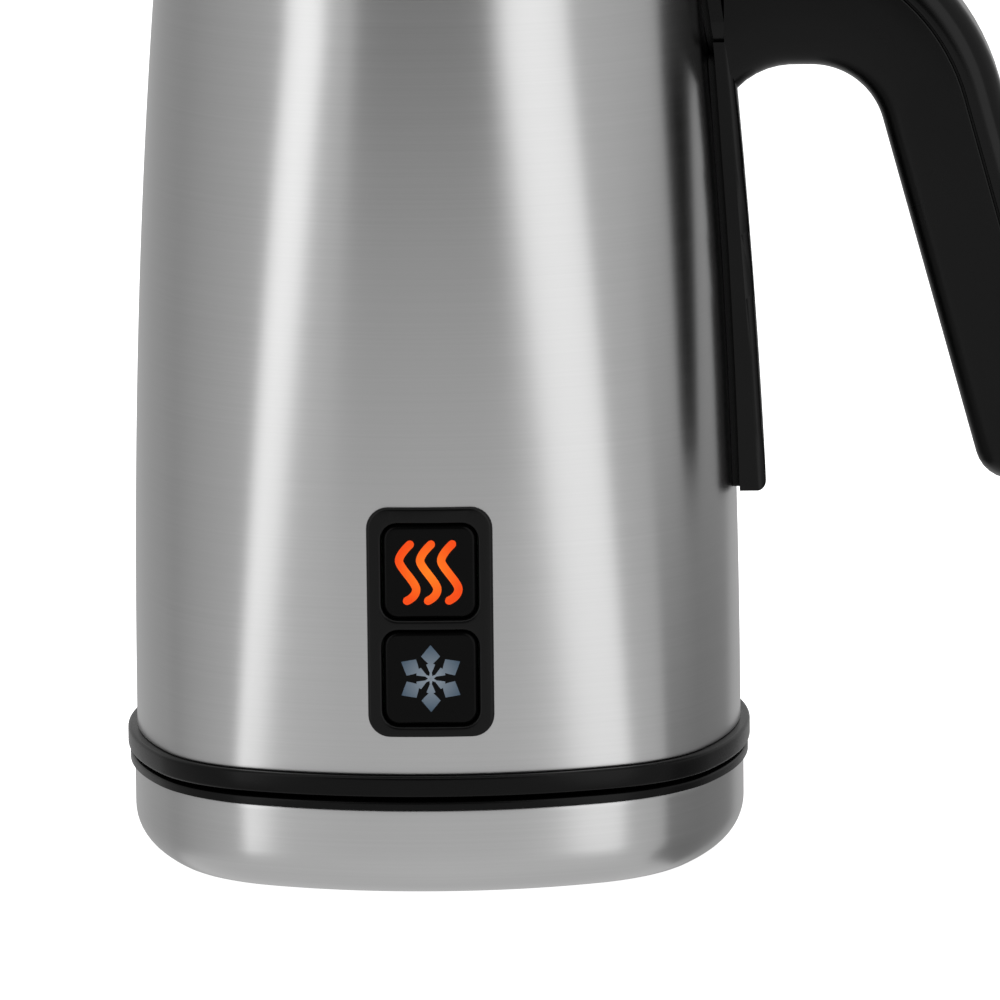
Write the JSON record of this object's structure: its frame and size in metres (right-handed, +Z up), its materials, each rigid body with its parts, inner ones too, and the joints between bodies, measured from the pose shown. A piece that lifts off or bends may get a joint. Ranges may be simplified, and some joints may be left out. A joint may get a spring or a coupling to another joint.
{
  "type": "milk frother",
  "caption": "Cordless milk frother: brushed steel jug with a black side handle and front button panel on a round-cornered powered stand, with lid and magnetic whisk.",
  "frame": {"origin": "on the jug's upright axis, in the plane that the rubber feet stand on", "axes": "+Z up, +X to the handle, -Y the side with the two buttons"},
  "size_m": [0.1708, 0.1073, 0.19],
  "materials": {
    "brushed_steel": "fine horizontal brushing",
    "black_plastic": "moulded, fine texture",
    "satin_black": "moulded, satin",
    "button_black": "moulded, smooth",
    "black_rubber": "matt",
    "grey_silicone": "matt",
    "plated_steel": "zinc plated",
    "heater_steel": "heat tinted",
    "contact_brass": "stamped",
    "pot_coating": "non-stick coating with fine specks",
    "cast_aluminium": "as cast",
    "circuit_board": "solder mask",
    "lamp_lens": "clear",
    "white_plastic": "moulded",
    "magnet_nickel": "nickel plated",
    "whisk_steel": "drawn wire"
  },
  "bodies": {
    "base": {"base_shell": "brushed_steel", "base_seat": "black_plastic", "base_bottom_plate": "black_plastic", "rubber_feet": "black_rubber", "base_screws": "plated_steel", "plug_tower": "black_plastic", "plug_contacts": "contact_brass", "cord_inlet_bush": "black_plastic", "cord_clamp": "black_plastic"},
    "rotor": {"rotor_shaft": "plated_steel", "magnet_carrier": "white_plastic", "drive_magnets": "magnet_nickel"},
    "whisk": {"whisk_body": "white_plastic", "whisk_magnets": "magnet_nickel", "whisk_coil": "whisk_steel"},
    "hot_button": {"hot_button": "button_black"},
    "cold_button": {"cold_button": "button_black"},
    "lid": {"lid_cover": "satin_black", "lid_seal": "grey_silicone", "lid_knob": "satin_black", "lid_screw": "plated_steel"},
    "jug": {"jug_shell": "brushed_steel", "jug_ring": "black_plastic", "jug_bottom_cover": "black_plastic", "cover_screws": "plated_steel", "socket_block": "black_plastic", "socket_contacts": "contact_brass", "inner_pot": "pot_coating", "pot_seal": "grey_silicone", "whisk_pin": "plated_steel", "heat_plate": "cast_aluminium", "heater_ring": "heater_steel", "temperature_probe": "plated_steel", "thermal_fuse": "plated_steel", "motor_bracket": "plated_steel", "motor": "plated_steel", "motor_screws": "plated_steel", "control_board": "circuit_board", "tact_switches": "black_plastic", "indicator_lamps": "lamp_lens", "power_board": "circuit_board", "board_parts": "black_plastic", "panel_bezel": "satin_black", "spine_pad": "black_rubber", "handle_spine": "satin_black", "handle_grip": "satin_black", "handle_cover": "satin_black", "handle_screws": "plated_steel", "arm_post": "plated_steel"}
  },
  "joints": [
    {"name": "jug_lift", "type": "slide", "parent": "base", "child": "jug", "axis": [0, 0, 1], "range_m": [0, 0.03]},
    {"name": "lid_lift", "type": "slide", "parent": "jug", "child": "lid", "axis": [0, 0, 1], "range_m": [0, 0.04]},
    {"name": "rotor_spin", "type": "hinge", "parent": "jug", "child": "rotor", "pos_m": [0, 0, 0.069], "axis": [0, 0, 1], "continuous": true},
    {"name": "whisk_spin", "type": "hinge", "parent": "jug", "child": "whisk", "pos_m": [0, 0, 0.08], "axis": [0, 0, 1], "continuous": true},
    {"name": "hot_button_press", "type": "slide", "parent": "jug", "child": "hot_button", "axis": [0, 1, 0], "range_m": [0, 0.0008], "stiffness_N_per_m": 600},
    {"name": "cold_button_press", "type": "slide", "parent": "jug", "child": "cold_button", "axis": [0, 1, 0], "range_m": [0, 0.0008], "stiffness_N_per_m": 600}
  ],
  "couplings": [
    {"joint": "whisk_spin", "follows": "rotor_spin", "ratio": 1}
  ]
}
